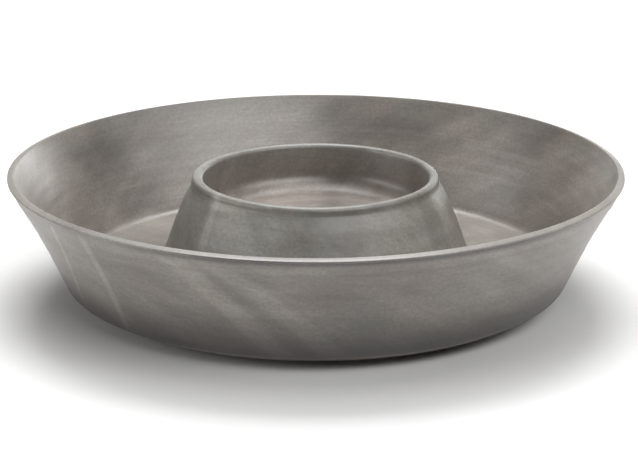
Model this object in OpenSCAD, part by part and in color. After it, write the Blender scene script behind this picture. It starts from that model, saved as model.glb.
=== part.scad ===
// Chip and dip server: a wide stoneware dish with a lift-out dip bowl standing in its middle.
// Both pieces are turned on one upright axis, which is the Z axis. Z = 0 is the table.

/* [Dish] */
// Outer radius of the dish at its rim
rim_r = 184; // [176:1:192]
// Height of the rim above the underside of the dish, without the foot ring, before its edge is rounded
dish_h = 76.6; // [75:0.1:82]
// Lean of the lower part of the dish wall outwards from upright, in degrees
low_lean = 25; // [23:0.5:27]
// Lean of the upper part of the dish wall, which flares a little more, in degrees
high_lean = 31.5; // [29:0.5:33]
// Height of the bend between the two parts above the underside
bend_h = 48; // [40:1:49]
// Height of the knee above the underside, where the rising underside turns into the wall
knee_h = 8; // [6:0.5:10]
// Radius of the rounded turn at the knee
knee_r = 13; // [8:0.5:18]
// How far inside the foot of the wall the underside starts to rise towards the knee
rise_w = 11.5; // [10:0.5:13]
// Thickness of the dish wall at its foot, square to its face
wall_t = 5; // [4.5:0.1:6]
// Width of the dish lip
dish_lip_w = 3.8; // [3.4:0.1:4.6]
// Height of the dish floor above the underside
floor_h = 14.4; // [13:0.1:17]
// Thickness of the dish floor inside the foot ring
floor_t = 7; // [6:0.5:9]

/* [Foot ring] */
// Outer radius of the foot ring
foot_r = 115; // [100:1:118]
// Width of the foot ring
foot_w = 8; // [6:0.5:12]
// How far the foot ring stands below the underside
foot_h = 3; // [2:0.5:4]

/* [Dip bowl] */
// Outer radius of the dip bowl at its lip
bowl_lip_r = 73.4; // [68:0.2:78]
// Outer radius of the dip bowl at its base
bowl_base_r = 95; // [90:0.2:100]
// Height of the dip bowl
bowl_h = 57.6; // [52:0.2:62]
// Width of the dip bowl lip
bowl_lip_w = 5.3; // [5.3:0.1:6.5]
// Depth of the well that holds the dip
well_depth = 28.2; // [22:0.2:32]
// Thickness of the dip bowl skirt and of the floor of its well
bowl_t = 5.5; // [4.5:0.1:6.5]

/* [Seat] */
// Play between the skirt and the locating ring, all round
seat_play = 1.5; // [1:0.1:3]
// Height of the locating ring above the dish floor
seat_h = 2.5; // [2:0.1:4]
// Width of the locating ring
seat_w = 4; // [3:0.5:6]

/* [Hidden] */
$fn = 180;

// Number of chords in each rounded corner of an outline
corner_steps = 10;
glaze_grey = [0.52, 0.50, 0.48];
bowl_grey = [0.56, 0.55, 0.52];

// Heights of the dish above the table
underside_z = foot_h;
rim_z = underside_z + dish_h;
floor_z = underside_z + floor_h;
recess_z = floor_z - floor_t;
knee_z = underside_z + knee_h;

// The lip slopes down outwards to an edge that stands out over a soft groove
lip_drop = 1.5;
lip_edge_h = 1;
groove_z = rim_z - 3.6;
groove_depth = 0.8;
groove_top_z = rim_z - 10.2;

// The line of the upper wall passes the rim radius at this height
lip_foot_z = rim_z - 3.1;
// Height and outer radius of the bend, and the length of wall that it takes on either side
bend_z = underside_z + bend_h;
bend_r = rim_r - (lip_foot_z - bend_z) * tan(high_lean);
bend_reach = 17;
bend_radius = bend_reach / tan((high_lean - low_lean) / 2);
// Radius of the outer face of the lower and of the upper wall at height z
function low_line(z) = bend_r + (z - bend_z) * tan(low_lean);
function high_line(z) = bend_r + (z - bend_z) * tan(high_lean);
under_r = low_line(underside_z) - rise_w;

// Radius of the inner face at the dish floor, and how far it lies inside the outer face at the bend
floor_r = low_line(floor_z) - wall_t / cos(low_lean);
bend_thickness = 5.2;

// The dip bowl stands on the dish floor
bowl_top_z = floor_z + bowl_h;
well_z = bowl_top_z - well_depth;
neck_z = bowl_top_z - 4.6;
shoulder_z = bowl_top_z - 13;
shoulder_r = bowl_lip_r + 5.2;
// Lean of the skirt outwards, from the shoulder down to the base
skirt_lean = atan((bowl_base_r - shoulder_r) / (shoulder_z - floor_z));
// Radius inside the skirt at height z
function skirt_inner(z) =
    bowl_base_r - (z - floor_z) * tan(skirt_lean) - bowl_t / cos(skirt_lean);
well_ceiling_z = well_z - bowl_t;
hollow_top_z = well_z + 3;
well_r = bowl_lip_r - bowl_lip_w;
seat_r = skirt_inner(floor_z) - seat_play;

function unit(v) = v / norm(v);

// Arc that rounds corner b, reached from a and left towards c. A corner is [r, z, radius].
function rounded_corner(a, b, c) =
    let (
        corner = [b[0], b[1]],
        back = unit([a[0] - b[0], a[1] - b[1]]),
        ahead = unit([c[0] - b[0], c[1] - b[1]]),
        half_angle = acos(back * ahead) / 2,
        reach = b[2] / tan(half_angle),
        centre = corner + unit(back + ahead) * b[2] / sin(half_angle),
        start = corner + back * reach - centre,
        first = atan2(start[1], start[0]),
        turn = sign(back[0] * ahead[1] - back[1] * ahead[0]) * (2 * half_angle - 180)
    )
    [for (i = [0 : corner_steps])
        centre + b[2] * [cos(first + turn * i / corner_steps), sin(first + turn * i / corner_steps)]];

// Points of a closed outline whose corners with a radius are rounded
function rounded(corners) =
    let (n = len(corners))
    [for (i = [0 : n - 1])
        each (corners[i][2] == 0
            ? [[corners[i][0], corners[i][1]]]
            : rounded_corner(corners[(i + n - 1) % n], corners[i], corners[(i + 1) % n]))];

// A piece turned from half of its cross-section
module turned(corners) {
    rotate_extrude() polygon(rounded(corners));
}

// The dish: a foot ring, a rounded knee, a flaring wall with a sloped lip, and a flat floor with a
// locating ring
module chip_dish() {
    color(glaze_grey) turned([
        [0, recess_z, 0],
        [foot_r - foot_w, recess_z, 2.5],
        [foot_r - foot_w, 0, 1.5],
        [foot_r, 0, 1.5],
        [foot_r, underside_z, 1.2],
        [under_r, underside_z, 20],
        [low_line(knee_z), knee_z, knee_r],
        [bend_r, bend_z, bend_radius],
        [high_line(groove_top_z), groove_top_z, 8],
        [high_line(groove_z) - groove_depth, groove_z, 1.2],
        [rim_r, rim_z - lip_drop - lip_edge_h, 0.5],
        [rim_r, rim_z - lip_drop, 0.8],
        [rim_r - dish_lip_w, rim_z, 0.9],
        [bend_r - bend_thickness, bend_z, bend_radius],
        [floor_r, floor_z, 3],
        [seat_r, floor_z, 0.8],
        [seat_r, floor_z + seat_h, 1],
        [seat_r - seat_w, floor_z + seat_h, 1],
        [seat_r - seat_w, floor_z, 0.8],
        [0, floor_z, 0]
    ]);
}

// The dip bowl: a shallow well with a rolled lip, on a flared skirt that is hollow below
module dip_bowl() {
    color(bowl_grey) turned([
        [0, well_ceiling_z, 0],
        [well_r - 5, well_ceiling_z, 8],
        [skirt_inner(hollow_top_z), hollow_top_z, 3],
        [skirt_inner(floor_z), floor_z, 1],
        [bowl_base_r, floor_z, 1.2],
        [shoulder_r, shoulder_z, 30],
        [bowl_lip_r, neck_z, 5],
        [bowl_lip_r, bowl_top_z, 2.6],
        [well_r, bowl_top_z, 2.6],
        [well_r - 2.5, well_z, 12],
        [0, well_z, 0]
    ]);
}

chip_dish();
dip_bowl();
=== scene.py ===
"""Chip and dip server: a grey glazed stoneware dish with a lift-out dip bowl, in a plain pale studio.

Both pieces are turned from outlines, with the small unevenness of hand-thrown ware, and replace their plain
CAD nodes. Lengths are in metres; outlines are written in millimetres and scaled once, in turned().
"""
import math

import bmesh
import bpy
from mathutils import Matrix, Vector


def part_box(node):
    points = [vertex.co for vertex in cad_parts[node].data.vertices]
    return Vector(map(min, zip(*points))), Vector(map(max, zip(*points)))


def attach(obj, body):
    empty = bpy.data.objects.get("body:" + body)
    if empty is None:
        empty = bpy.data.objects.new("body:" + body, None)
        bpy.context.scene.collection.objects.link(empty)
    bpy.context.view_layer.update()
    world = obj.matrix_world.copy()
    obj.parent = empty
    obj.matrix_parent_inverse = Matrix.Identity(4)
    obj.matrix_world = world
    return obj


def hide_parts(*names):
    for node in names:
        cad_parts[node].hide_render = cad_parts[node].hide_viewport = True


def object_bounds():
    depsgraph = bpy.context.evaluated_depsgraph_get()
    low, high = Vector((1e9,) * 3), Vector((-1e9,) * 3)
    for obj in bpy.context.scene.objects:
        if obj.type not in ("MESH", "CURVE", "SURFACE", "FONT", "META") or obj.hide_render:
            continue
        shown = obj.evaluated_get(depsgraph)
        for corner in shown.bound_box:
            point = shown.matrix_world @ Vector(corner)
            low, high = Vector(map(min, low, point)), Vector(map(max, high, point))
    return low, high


MM = 0.001
# Chords in each ring, and in each rounded corner of an outline
TURN_STEPS = 320
CORNER_STEPS = 9
# Longest step of an outline, along it and in height, in millimetres
LONGEST_CHORD = 12.0
LONGEST_RISE = 2.5

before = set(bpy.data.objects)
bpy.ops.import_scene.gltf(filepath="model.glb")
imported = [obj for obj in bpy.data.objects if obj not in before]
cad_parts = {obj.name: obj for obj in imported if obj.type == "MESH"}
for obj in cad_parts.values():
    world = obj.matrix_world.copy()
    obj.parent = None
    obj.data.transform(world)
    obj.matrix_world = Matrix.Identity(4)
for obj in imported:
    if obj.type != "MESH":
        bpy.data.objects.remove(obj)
cad_low, cad_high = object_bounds()
dish_low, dish_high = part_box("chip_dish")
bowl_low, bowl_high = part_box("dip_bowl")

# ---------------------------------------------------------------- sizes, in millimetres
rim_r = dish_high.x / MM
rim_z = 79.6
floor_z = bowl_low.z / MM
bowl_top_z = bowl_high.z / MM

foot_r = 115
foot_w = 8
underside_z = 3
floor_t = 7
knee_z = underside_z + 8
knee_r = 13
rise_w = 11.5
low_lean = math.radians(25)
high_lean = math.radians(31.5)
wall_t = 5
dish_lip_w = 3.8
lip_drop = 1.5
lip_edge_h = 1
lip_foot_z = rim_z - 3.1
groove_z = rim_z - 3.6
groove_depth = 0.8
groove_top_z = rim_z - 10.2
bend_z = underside_z + 48
bend_reach = 17
bend_thickness = 5.2

bowl_lip_r = 73.4
bowl_lip_w = 5.3
bowl_base_r = 95
bowl_t = 5.5
well_depth = 28.2
seat_play = 1.5
seat_h = 2.5
seat_w = 4
# The cove between the wall and the floor is softer than in the CAD model
cove_r = 8


bend_r = rim_r - (lip_foot_z - bend_z) * math.tan(high_lean)
bend_radius = bend_reach / math.tan((high_lean - low_lean) / 2)


def low_line(z):
    """Radius of the outer face of the lower wall at height z."""
    return bend_r + (z - bend_z) * math.tan(low_lean)


def high_line(z):
    """Radius of the outer face of the upper, more flared wall at height z."""
    return bend_r + (z - bend_z) * math.tan(high_lean)


under_r = low_line(underside_z) - rise_w
floor_r = low_line(floor_z) - wall_t / math.cos(low_lean)
shoulder_r = bowl_lip_r + 5.2
shoulder_z = bowl_top_z - 13
neck_z = bowl_top_z - 4.6
skirt_lean = math.atan((bowl_base_r - shoulder_r) / (shoulder_z - floor_z))
well_r = bowl_lip_r - bowl_lip_w
well_z = bowl_top_z - well_depth


def skirt_inner(z):
    """Radius inside the dip bowl's skirt at height z."""
    return bowl_base_r - (z - floor_z) * math.tan(skirt_lean) - bowl_t / math.cos(skirt_lean)


seat_r = skirt_inner(floor_z) - seat_play

# ---------------------------------------------------------------- outlines


def rounded_corner(before, corner, after):
    """Points of the arc that rounds a corner (r, z, radius)."""
    b = Vector(corner[:2])
    back = (Vector(before[:2]) - b).normalized()
    ahead = (Vector(after[:2]) - b).normalized()
    half = back.angle(ahead) / 2
    radius = corner[2]
    centre = b + (back + ahead).normalized() * (radius / math.sin(half))
    start = b + back * (radius / math.tan(half)) - centre
    first = math.atan2(start.y, start.x)
    side = 1 if back.x * ahead.y - back.y * ahead.x > 0 else -1
    turn = side * (2 * half - math.pi)
    angles = [first + turn * i / CORNER_STEPS for i in range(CORNER_STEPS + 1)]
    return [centre + radius * Vector((math.cos(a), math.sin(a))) for a in angles]


def outline(corners):
    """The open outline from axis to axis, with rounded corners, cut finely enough to carry the ridges."""
    points = []
    for i, corner in enumerate(corners):
        if corner[2] == 0:
            points.append(Vector(corner[:2]))
        else:
            points += rounded_corner(corners[i - 1], corner, corners[i + 1])
    fine = [points[0]]
    for a, b in zip(points, points[1:]):
        cuts = max(1, math.ceil((b - a).length / LONGEST_CHORD), math.ceil(abs(b.y - a.y) / LONGEST_RISE))
        fine += [a.lerp(b, k / cuts) for k in range(1, cuts + 1)]
    return fine


def turned(name, corners, uneven):
    """A mesh turned from an outline. uneven(r, z, angle) gives the small shift (dr, dz) of hand-thrown ware."""
    mesh = bmesh.new()
    rings = []
    for p in outline(corners):
        if p.x < 1e-6:
            rings.append([mesh.verts.new((0, 0, p.y * MM))])
            continue
        ring = []
        for k in range(TURN_STEPS):
            angle = 2 * math.pi * k / TURN_STEPS
            dr, dz = uneven(p.x, p.y, angle)
            r = (p.x + dr) * MM
            ring.append(mesh.verts.new((r * math.cos(angle), r * math.sin(angle), (p.y + dz) * MM)))
        rings.append(ring)
    for low, high in zip(rings, rings[1:]):
        for k in range(TURN_STEPS):
            n = (k + 1) % TURN_STEPS
            if len(low) == 1:
                mesh.faces.new((low[0], high[n], high[k]))
            elif len(high) == 1:
                mesh.faces.new((low[k], low[n], high[0]))
            else:
                mesh.faces.new((low[k], low[n], high[n], high[k]))
    bmesh.ops.recalc_face_normals(mesh, faces=mesh.faces)
    data = bpy.data.meshes.new(name)
    mesh.to_mesh(data)
    mesh.free()
    for face in data.polygons:
        face.use_smooth = True
    piece = bpy.data.objects.new(name, data)
    bpy.context.scene.collection.objects.link(piece)
    return piece


def smooth_step(low, high, x):
    """0 below low, 1 above high, and a smooth climb between."""
    t = min(1, max(0, (x - low) / (high - low)))
    return t * t * (3 - 2 * t)


# ---------------------------------------------------------------- unevenness of the two pieces
# The camera's side of the object, as an angle round the axis
FRONT = -math.pi / 2


def swell(angle, middle, power):
    """1 in the direction middle, falling away on both sides to 0, and narrower for a higher power."""
    return max(0.0, math.cos(angle - middle)) ** power


def dish_uneven(r, z, angle):
    """The rim dips a little at the front, and the wall carries soft throwing ridges."""
    high = smooth_step(floor_z, rim_z, z)
    dip = 0.02 + 1.2 * swell(angle, FRONT, 6) + 0.25 * (1 + math.cos(3 * angle + 0.6)) / 2
    ridge = 0.07 * math.sin(z * 0.83 + 0.5 * math.sin(angle + 1)) + 0.05 * math.sin(z * 0.37 + angle)
    on_wall = smooth_step(floor_z + 3, floor_z + 12, z) * (1 - smooth_step(rim_z - 12, rim_z - 6, z))
    return ridge * on_wall - 0.05 * high, -dip * high


def bowl_uneven(r, z, angle):
    """The lip is a little wider on the left, the skirt bellies out, and both are slightly out of true."""
    high = smooth_step(floor_z, bowl_top_z, z)
    dip = 0.02 + 0.5 * swell(angle, FRONT, 4) + 0.15 * (1 + math.cos(2 * angle + 1.1)) / 2
    outside = smooth_step(well_r + 2, bowl_lip_r - 1, r)
    wide = 1.2 * swell(angle, math.pi, 3) * outside * smooth_step(neck_z - 3, neck_z, z)
    up = min(1, max(0, (z - floor_z) / (shoulder_z - floor_z)))
    belly = 0.6 * math.sin(math.pi * up) * outside
    on_skirt = smooth_step(floor_z + 4, floor_z + 12, z) * (1 - smooth_step(shoulder_z - 8, shoulder_z, z))
    ridge = 0.07 * math.sin(z * 0.71 + 0.6 * math.sin(angle)) + 0.04 * math.sin(z * 0.31 + 2 * angle)
    return ridge * on_skirt + belly + wide, -dip * high


dish = turned(
    "dish_body",
    [
        (0, floor_z - floor_t, 0),
        (foot_r - foot_w, floor_z - floor_t, 2.5),
        (foot_r - foot_w, 0, 1.5),
        (foot_r, 0, 1.5),
        (foot_r, underside_z, 1.2),
        (under_r, underside_z, 20),
        (low_line(knee_z), knee_z, knee_r),
        (bend_r, bend_z, bend_radius),
        (high_line(groove_top_z), groove_top_z, 8),
        (high_line(groove_z) - groove_depth, groove_z, 1.2),
        (rim_r, rim_z - lip_drop - lip_edge_h, 0.5),
        (rim_r, rim_z - lip_drop, 0.8),
        (rim_r - dish_lip_w, rim_z, 0.9),
        (bend_r - bend_thickness, bend_z, bend_radius),
        (floor_r, floor_z, cove_r),
        (seat_r, floor_z, 0.8),
        (seat_r, floor_z + seat_h, 1),
        (seat_r - seat_w, floor_z + seat_h, 1),
        (seat_r - seat_w, floor_z, 0.8),
        (0, floor_z, 0),
    ],
    dish_uneven,
)
bowl = turned(
    "dip_bowl_body",
    [
        (0, well_z - bowl_t, 0),
        (well_r - 5, well_z - bowl_t, 8),
        (skirt_inner(well_z + 3), well_z + 3, 3),
        (skirt_inner(floor_z), floor_z, 1),
        (bowl_base_r, floor_z, 1.2),
        (shoulder_r, shoulder_z, 30),
        (bowl_lip_r, neck_z, 5),
        (bowl_lip_r, bowl_top_z, 2.6),
        (well_r, bowl_top_z, 2.6),
        (well_r - 2.5, well_z, 12),
        (0, well_z, 0),
    ],
    bowl_uneven,
)
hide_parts("chip_dish")
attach(dish, "dish")
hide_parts("dip_bowl")
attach(bowl, "bowl")

# ---------------------------------------------------------------- glaze


class Nodes:
    """Builds one material's node tree with short calls."""

    def __init__(self, name):
        self.material = bpy.data.materials.new(name)
        self.material.use_nodes = True
        self.tree = self.material.node_tree
        self.tree.nodes.clear()

    def add(self, kind, inputs=None, **settings):
        node = self.tree.nodes.new(kind)
        for key, value in settings.items():
            setattr(node, key, value)
        for key, value in (inputs or {}).items():
            self.feed(node.inputs[key], value)
        return node

    def feed(self, socket, value):
        if isinstance(value, bpy.types.NodeSocket):
            self.tree.links.new(value, socket)
        else:
            socket.default_value = value

    def maths(self, operation, a, b=0.0, clamp=False):
        return self.add("ShaderNodeMath", {0: a, 1: b}, operation=operation, use_clamp=clamp).outputs[0]

    def spread(self, value, low, high, to_low=0.0, to_high=1.0):
        """Maps low..high onto to_low..to_high with a smooth climb."""
        node = self.add(
            "ShaderNodeMapRange",
            {"Value": value, "From Min": low, "From Max": high, "To Min": to_low, "To Max": to_high},
            interpolation_type="SMOOTHSTEP",
        )
        return node.outputs[0]

    def noise(self, vector, scale, detail=2.0, rough=0.5, w=0.0):
        """Noise from 0 to 1 in four dimensions, so that w can carry a fourth coordinate."""
        node = self.add(
            "ShaderNodeTexNoise",
            {"Vector": vector, "W": w, "Scale": scale, "Detail": detail, "Roughness": rough},
            noise_dimensions="4D",
        )
        return node.outputs[0]

    def mix(self, share, a, b):
        node = self.add("ShaderNodeMix", data_type="RGBA")
        self.feed(node.inputs[0], share)
        self.feed(node.inputs[6], a)
        self.feed(node.inputs[7], b)
        return node.outputs[2]


# How far the slanting sweeps turn round the axis, in radians for each metre of height
SWEEP_TURN = 10.8
PALE_CLAY = (0.40, 0.37, 0.33, 1)


class Glaze(Nodes):
    """Satin pewter glaze in object coordinates, which are metres: noise of several kinds, and marks."""

    def __init__(self, name, warm, cool):
        super().__init__(name)
        self.place = self.add("ShaderNodeTexCoord").outputs["Object"]
        xyz = self.add("ShaderNodeSeparateXYZ", {0: self.place}).outputs
        self.height = xyz[2]
        flat = self.add("ShaderNodeCombineXYZ", {0: xyz[0], 1: xyz[1]}).outputs[0]
        self.radius = self.add("ShaderNodeVectorMath", {0: flat}, operation="LENGTH").outputs["Value"]
        self.around = self.add("ShaderNodeVectorMath", {0: flat}, operation="NORMALIZE").outputs[0]

        self.lines = self.ring_noise(800.0, 7.0, 3.0, 0.6)
        self.bands = self.ring_noise(110.0, 3.0, 2.0, 0.5)
        self.sweeps = self.ring_noise(12.0, 7.0, 3.0, 0.6, SWEEP_TURN)
        self.clouds = self.noise(self.place, 17.0, 4.0, 0.55)
        self.speckle = self.noise(self.place, 520.0, 3.0, 0.6)
        tint = self.noise(self.place, 26.0, 3.0, 0.6, 3.0)
        self.colour = self.mix(self.spread(tint, 0.36, 0.62), warm, cool)
        self.rough = self.spread(self.clouds, 0.3, 0.7, 0.33, 0.42)

    def grain(self):
        """Scales the colour by the clouds, sweeps, turning lines and speckle."""
        self.shade(self.spread(self.clouds, 0.30, 0.70, 0.85, 1.15))
        self.shade(self.spread(self.sweeps, 0.30, 0.72, 0.90, 1.14))
        self.shade(self.spread(self.bands, 0.30, 0.70, 0.93, 1.07))
        self.shade(self.spread(self.lines, 0.25, 0.75, 0.92, 1.08))
        self.shade(self.spread(self.speckle, 0.25, 0.75, 0.84, 1.16))

    def turned_by(self, slant):
        """The direction round the axis, turned by slant radians for each metre of height."""
        turn = self.maths("MULTIPLY", self.height, slant)
        node = self.add("ShaderNodeVectorRotate", {"Vector": self.around, "Angle": turn}, rotation_type="Z_AXIS")
        return node.outputs[0]

    def ring_noise(self, fine, along, detail, rough, slant=0.0):
        """Noise drawn out round the axis: fine across the turning lines, slow along them, rings near the axis."""
        hold = self.spread(self.radius, 0.0, 0.08, 0.0, along)
        way = self.add("ShaderNodeVectorMath", {0: self.turned_by(slant), "Scale": hold}, operation="SCALE")
        out = self.add("ShaderNodeCombineXYZ", {2: self.maths("MULTIPLY", self.radius, fine)})
        vector = self.add("ShaderNodeVectorMath", {0: way.outputs[0], 1: out.outputs[0]}, operation="ADD")
        return self.noise(vector.outputs[0], 1.0, detail, rough, self.maths("MULTIPLY", self.height, fine))

    def facing(self, degrees, wide, narrow, slant=0.0):
        """1 within narrow degrees of a direction round the axis, falling to 0 at wide degrees from it."""
        a = math.radians(degrees)
        toward = (math.cos(a), math.sin(a), 0)
        node = self.add("ShaderNodeVectorMath", {0: self.turned_by(slant), 1: toward}, operation="DOT_PRODUCT")
        return self.spread(node.outputs["Value"], math.cos(math.radians(wide)), math.cos(math.radians(narrow)))

    def band(self, value, low, full_low, full_high, high):
        """1 between full_low and full_high, falling to 0 at low and at high."""
        rise = self.spread(value, low, full_low)
        return self.maths("MULTIPLY", rise, self.spread(value, full_high, high, 1.0, 0.0))

    def both(self, a, b):
        """The mask where both masks are 1."""
        return self.maths("MULTIPLY", a, b)

    def shade(self, factor):
        """Scales the colour everywhere by a factor that may vary."""
        self.colour = self.add("ShaderNodeVectorMath", {0: self.colour, "Scale": factor}, operation="SCALE").outputs[0]

    def mark(self, mask, factor):
        """Scales the colour by factor where mask is 1."""
        self.shade(self.maths("ADD", self.maths("MULTIPLY", mask, factor - 1.0), 1.0))

    def roughen(self, mask, amount):
        """Adds amount to the roughness where mask is 1."""
        self.rough = self.maths("ADD", self.rough, self.maths("MULTIPLY", mask, amount), clamp=True)

    def paint(self, mask, colour):
        """Replaces the colour where mask is 1."""
        self.colour = self.mix(mask, self.colour, colour)

    def close(self):
        """Joins the colour, roughness and a faint relief into the shader, and returns the material."""
        relief = self.maths("ADD", self.maths("MULTIPLY", self.lines, 0.3), self.bands)
        bump = self.add("ShaderNodeBump", {"Strength": 0.25, "Distance": 0.0004, "Height": relief})
        shader = self.add(
            "ShaderNodeBsdfPrincipled",
            {"Base Color": self.colour, "Roughness": self.rough, "Normal": bump.outputs[0], "IOR": 1.9},
        )
        output = self.add("ShaderNodeOutputMaterial")
        self.tree.links.new(shader.outputs[0], output.inputs[0])
        return self.material


def dish_glaze():
    """The dish: paler inside, with painted shade darker towards the knee and in the crease under the lip, darker
    patches inside that are painted reflections, and pale streaks that are partly painted highlights.
    """
    g = Glaze("dish_glaze", (0.208, 0.180, 0.160, 1), (0.200, 0.190, 0.168, 1))
    # The outer face leans by the low lean, so radius less this slope tells outside from inside
    slope = g.maths("SUBTRACT", g.radius, g.maths("MULTIPLY", g.height, math.tan(low_lean)))
    outside = g.spread(slope, (low_line(0) - 3.6) * MM, (low_line(0) - 1.6) * MM)
    inside = g.maths("SUBTRACT", 1.0, outside)
    g.paint(g.maths("MULTIPLY", inside, 0.6), (0.272, 0.238, 0.211, 1))
    g.grain()
    # The floor darker, and painted shade on the outer face from the base up past the knee, down to 14 percent of the
    # colour at the bottom and fading out 46 mm up
    g.mark(g.both(inside, g.spread(g.height, 0.0178, 0.0225, 1.0, 0.0)), 0.84)
    g.mark(g.both(outside, g.spread(g.height, 0.003, 0.046, 1.0, 0.0)), 0.14)
    # Painted reflections: darker patches near the rim inside, and one slanting down to the floor, in place of dark
    # areas reflected in the glaze
    high_inside = g.both(inside, g.spread(g.height, 0.040, 0.068))
    g.mark(g.both(high_inside, g.facing(143, 24, 8)), 0.74)
    g.mark(g.both(high_inside, g.facing(77, 16, 4)), 0.60)
    g.mark(g.both(high_inside, g.facing(33, 16, 4)), 0.80)
    g.mark(g.both(g.both(inside, g.spread(g.height, 0.018, 0.026)), g.facing(132.4, 11, 2, -3.6)), 0.74)
    lip = g.both(g.spread(g.height, 0.0769, 0.0778), g.spread(g.radius, 0.1794, 0.1800))
    g.paint(g.both(lip, g.spread(g.bands, 0.3, 0.7, 0.0, 0.2)), PALE_CLAY)
    g.roughen(lip, 0.18)
    # Painted shade under the lip: the crease darkened to half, towards the front only
    under_lip_shade = g.both(g.band(g.height, 0.0722, 0.0752, 0.0768, 0.0774), g.spread(g.radius, 0.1785, 0.1800))
    g.mark(g.both(under_lip_shade, g.facing(-75, 56, 30)), 0.50)
    # Pale streaks, partly glaze streaks and partly painted highlights of strips of light: two narrow ones on the left
    # and two wide slanting ones at the front left
    streaks_and_highlights = g.both(outside, g.spread(g.height, 0.0700, 0.0770, 1.0, 0.0))
    g.mark(g.both(streaks_and_highlights, g.facing(-153.6, 0.9, 0.1, -2.05)), 1.45)
    g.mark(g.both(streaks_and_highlights, g.facing(-135.2, 1.3, 0.2, 0.15)), 1.40)
    g.mark(g.both(streaks_and_highlights, g.facing(-94.2, 4.0, 0.5, 5.2)), 1.34)
    g.mark(g.both(streaks_and_highlights, g.facing(-81.9, 4.0, 0.5, 6.2)), 1.28)
    # Bare clay where the foot ring stands
    bare = g.spread(g.height, 0.0005, 0.0016, 1.0, 0.0)
    g.paint(bare, PALE_CLAY)
    g.roughen(bare, 0.4)
    return g.close()


def bowl_glaze():
    """The dip bowl: greener and paler, browner in the well, with painted shade on the well's upper wall, painted
    reflections as cloudy uprights on its skirt, and painted highlights on the neck and at the foot of the well.
    """
    g = Glaze("bowl_glaze", (0.208, 0.192, 0.168, 1), (0.250, 0.248, 0.222, 1))
    in_well = g.both(g.spread(g.radius, 0.0665, 0.0690, 1.0, 0.0), g.spread(g.height, 0.0380, 0.0420))
    g.paint(in_well, (0.196, 0.168, 0.147, 1))
    g.grain()
    # Painted shade on the upper wall of the well
    g.mark(g.both(in_well, g.band(g.height, 0.0500, 0.0560, 0.0900, 0.0950)), 0.82)
    # Painted highlight: a pale patch at the foot of the well on its far side, a reflected light in the curve
    g.mark(g.both(g.facing(108, 32, 6), g.band(g.height, 0.0462, 0.0472, 0.0510, 0.0570)), 1.45)
    # Painted reflections: dark and pale uprights round the skirt, in place of reflected dark areas and a strip of
    # light, and a painted highlight as a pale patch on the neck
    outside = g.spread(g.radius, 0.0725, 0.0738)
    g.mark(g.both(outside, g.facing(-82, 17, 5)), 0.70)
    g.mark(g.both(outside, g.facing(-141.5, 3.0, 0.6)), 1.35)
    neck = g.both(outside, g.band(g.height, 0.0650, 0.0680, 0.0720, 0.0740))
    g.mark(g.both(neck, g.facing(-137, 11, 4)), 1.35)
    g.mark(g.both(outside, g.facing(-160, 17, 12)), 0.80)
    g.mark(g.both(outside, g.facing(-31, 8, 4)), 0.82)
    g.roughen(outside, 0.07)
    lip = g.both(g.spread(g.height, 0.0726, 0.0742), g.spread(g.radius, 0.0672, 0.0685))
    g.roughen(lip, 0.15)
    g.mark(lip, 0.85)
    return g.close()


dish.data.materials.append(dish_glaze())
bowl.data.materials.append(bowl_glaze())

# ---------------------------------------------------------------- studio


def plain(name, colour, roughness):
    """A plain matt material for the floor."""
    n = Nodes(name)
    shader = n.add("ShaderNodeBsdfPrincipled", {"Base Color": (*colour, 1), "Roughness": roughness})
    output = n.add("ShaderNodeOutputMaterial")
    n.tree.links.new(shader.outputs[0], output.inputs[0])
    return n.material


def studio_floor(size):
    """A wide flat floor under the foot ring."""
    mesh = bpy.data.meshes.new("floor")
    half = size / 2
    corners = [(-half, -half, 0), (half, -half, 0), (half, half, 0), (-half, half, 0)]
    mesh.from_pydata(corners, [], [(0, 1, 2, 3)])
    floor = bpy.data.objects.new("floor", mesh)
    floor.location.z = cad_low.z
    bpy.context.scene.collection.objects.link(floor)
    mesh.materials.append(plain("floor_paper", (0.86, 0.86, 0.86), 0.9))


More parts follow.
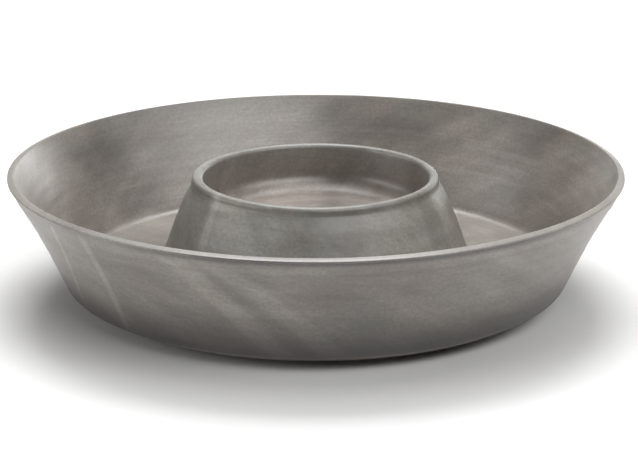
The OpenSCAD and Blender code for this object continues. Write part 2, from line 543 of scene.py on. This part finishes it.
def soft_light(name, azimuth, elevation, distance, width, height, power):
    """A soft box aimed at the object. Azimuth 0 is the camera's side, and positive is to the right."""
    a = math.radians(azimuth)
    e = math.radians(elevation)
    data = bpy.data.lights.new(name, "AREA")
    data.shape = "RECTANGLE"
    data.size = width
    data.size_y = height
    data.energy = power
    light = bpy.data.objects.new(name, data)
    away = Vector((math.sin(a) * math.cos(e), -math.cos(a) * math.cos(e), math.sin(e)))
    light.location = away * distance
    light.rotation_mode = "QUATERNION"
    light.rotation_quaternion = away.to_track_quat("Z", "Y")
    bpy.context.scene.collection.objects.link(light)


def studio():
    """A dim pale room, a big soft box high behind the object, one overhead, and weaker ones round it."""
    world = bpy.data.worlds.new("studio")
    bpy.context.scene.world = world
    world.use_nodes = True
    background = world.node_tree.nodes["Background"]
    background.inputs[0].default_value = (1.0, 0.99, 0.975, 1)
    background.inputs[1].default_value = 0.05
    soft_light("overhead", 180, 86, 3.0, 2.4, 2.4, 43)
    soft_light("back_high", 180, 62, 3.0, 1.8, 1.4, 64)
    soft_light("key", 33, 43, 3.0, 2.8, 1.1, 36)
    soft_light("right_mid", 76, 32, 3.0, 1.8, 1.0, 9)
    soft_light("left_low", -80, 15, 3.0, 2.6, 1.0, 26)
    soft_light("back_right_low", 153, 8, 3.0, 2.0, 0.7, 20)
    soft_light("back_low", -170, 13, 3.0, 2.0, 0.9, 9)
    studio_floor(14)


studio()

# ---------------------------------------------------------------- camera
VIEW_ELEVATION = math.radians(17.0)
VIEW_DISTANCE = 9 * rim_r * MM
VIEW_HEIGHT = 0.0306
SENSOR_WIDTH = 36
LENS = 154.78
# The aim lies a little above and to the right of the point that the camera circles
AIM_UP = 0.0106
AIM_RIGHT = 0.0018


def camera():
    """A long lens, a little above the table, in front of the dish."""
    data = bpy.data.cameras.new("camera")
    data.sensor_width = SENSOR_WIDTH
    data.lens = LENS
    eye = bpy.data.objects.new("camera", data)
    back = Vector((0, -math.cos(VIEW_ELEVATION), math.sin(VIEW_ELEVATION)))
    up = Vector((0, math.sin(VIEW_ELEVATION), math.cos(VIEW_ELEVATION)))
    centre = Vector((0, 0, VIEW_HEIGHT))
    eye.location = centre + back * VIEW_DISTANCE
    aim = centre + up * AIM_UP + Vector((AIM_RIGHT, 0, 0))
    eye.rotation_mode = "QUATERNION"
    eye.rotation_quaternion = (aim - eye.location).to_track_quat("-Z", "Y")
    bpy.context.scene.collection.objects.link(eye)
    bpy.context.scene.camera = eye


camera()
bpy.context.scene.view_settings.view_transform = "Standard"
